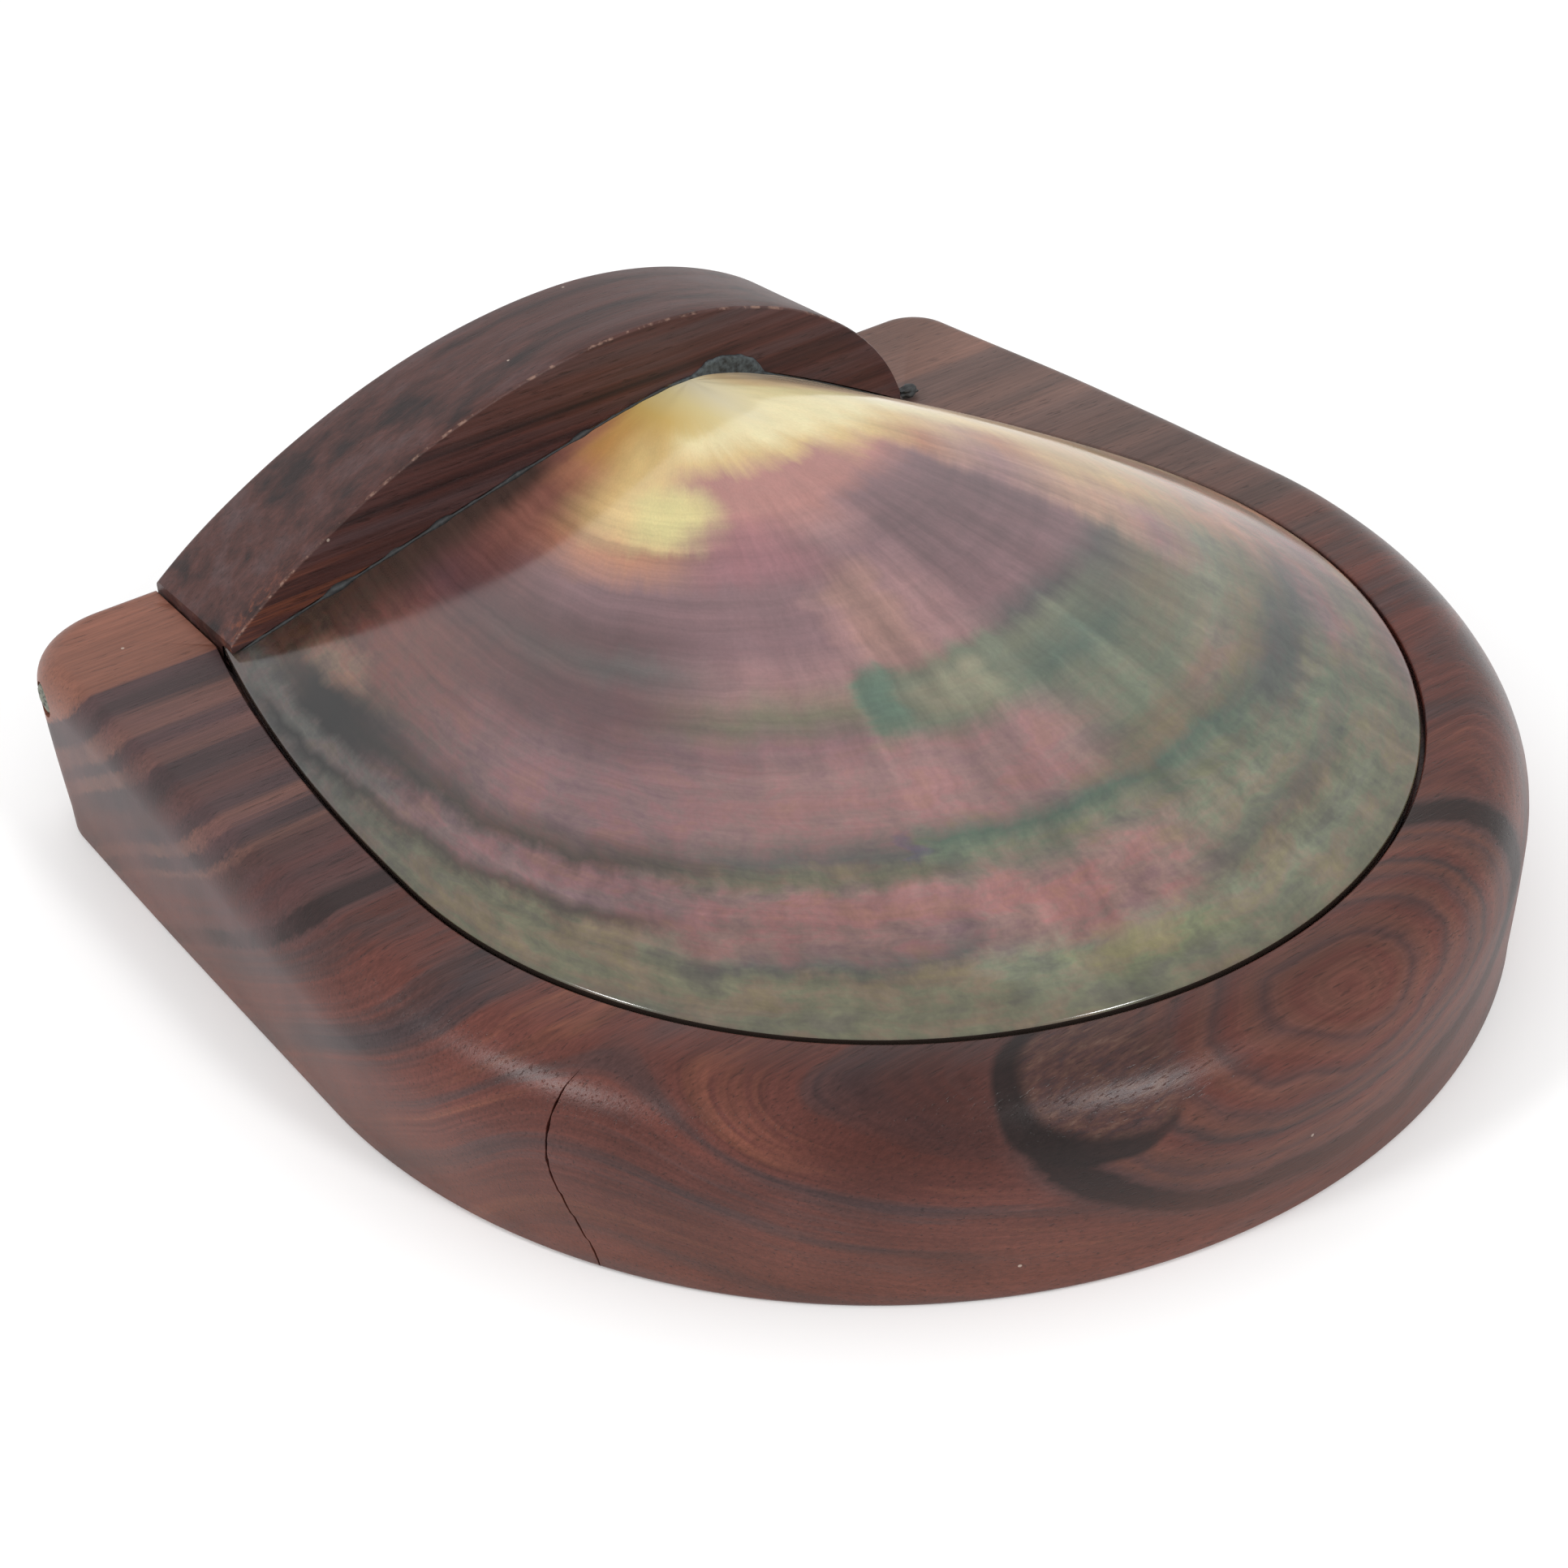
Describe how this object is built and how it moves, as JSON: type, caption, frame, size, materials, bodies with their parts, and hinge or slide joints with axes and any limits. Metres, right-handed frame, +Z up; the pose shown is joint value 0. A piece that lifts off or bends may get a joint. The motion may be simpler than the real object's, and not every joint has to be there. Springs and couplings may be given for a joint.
{
  "type": "shell box",
  "caption": "Low carved hardwood box with a rounded front, closed by a pearl-oyster shell that is set in an arched wooden hinge block and tips up at the back.",
  "frame": {"origin": "centre of the underside, on the surface the box stands on", "axes": "+Z up out of the lid, -Y towards the rounded front that opens, +Y towards the hinge, +X to the right seen from the front"},
  "size_m": [0.1732, 0.1732, 0.0573],
  "materials": {
    "box_wood": "satin oiled, red-brown with near-black streaks",
    "hinge_wood": "satin oiled, dark red-brown",
    "shell_nacre": "polished dark nacre, cream and amber at the umbo, mauve and grey-green towards the rim",
    "joint_filler": "matt grey filler",
    "pin_metal": "dulled, grey-green"
  },
  "bodies": {
    "box": {"box_body": "box_wood", "hinge_pin_left": "pin_metal", "hinge_pin_right": "pin_metal"},
    "lid": {"hinge_block": "hinge_wood", "shell_lid": "shell_nacre", "filler_bead": "joint_filler"}
  },
  "joints": [
    {"name": "lid_hinge", "type": "hinge", "parent": "box", "child": "lid", "pos_m": [0, 0.0769, 0.0235], "axis": [-1, 0, 0], "range_deg": [0, 95]}
  ]
}
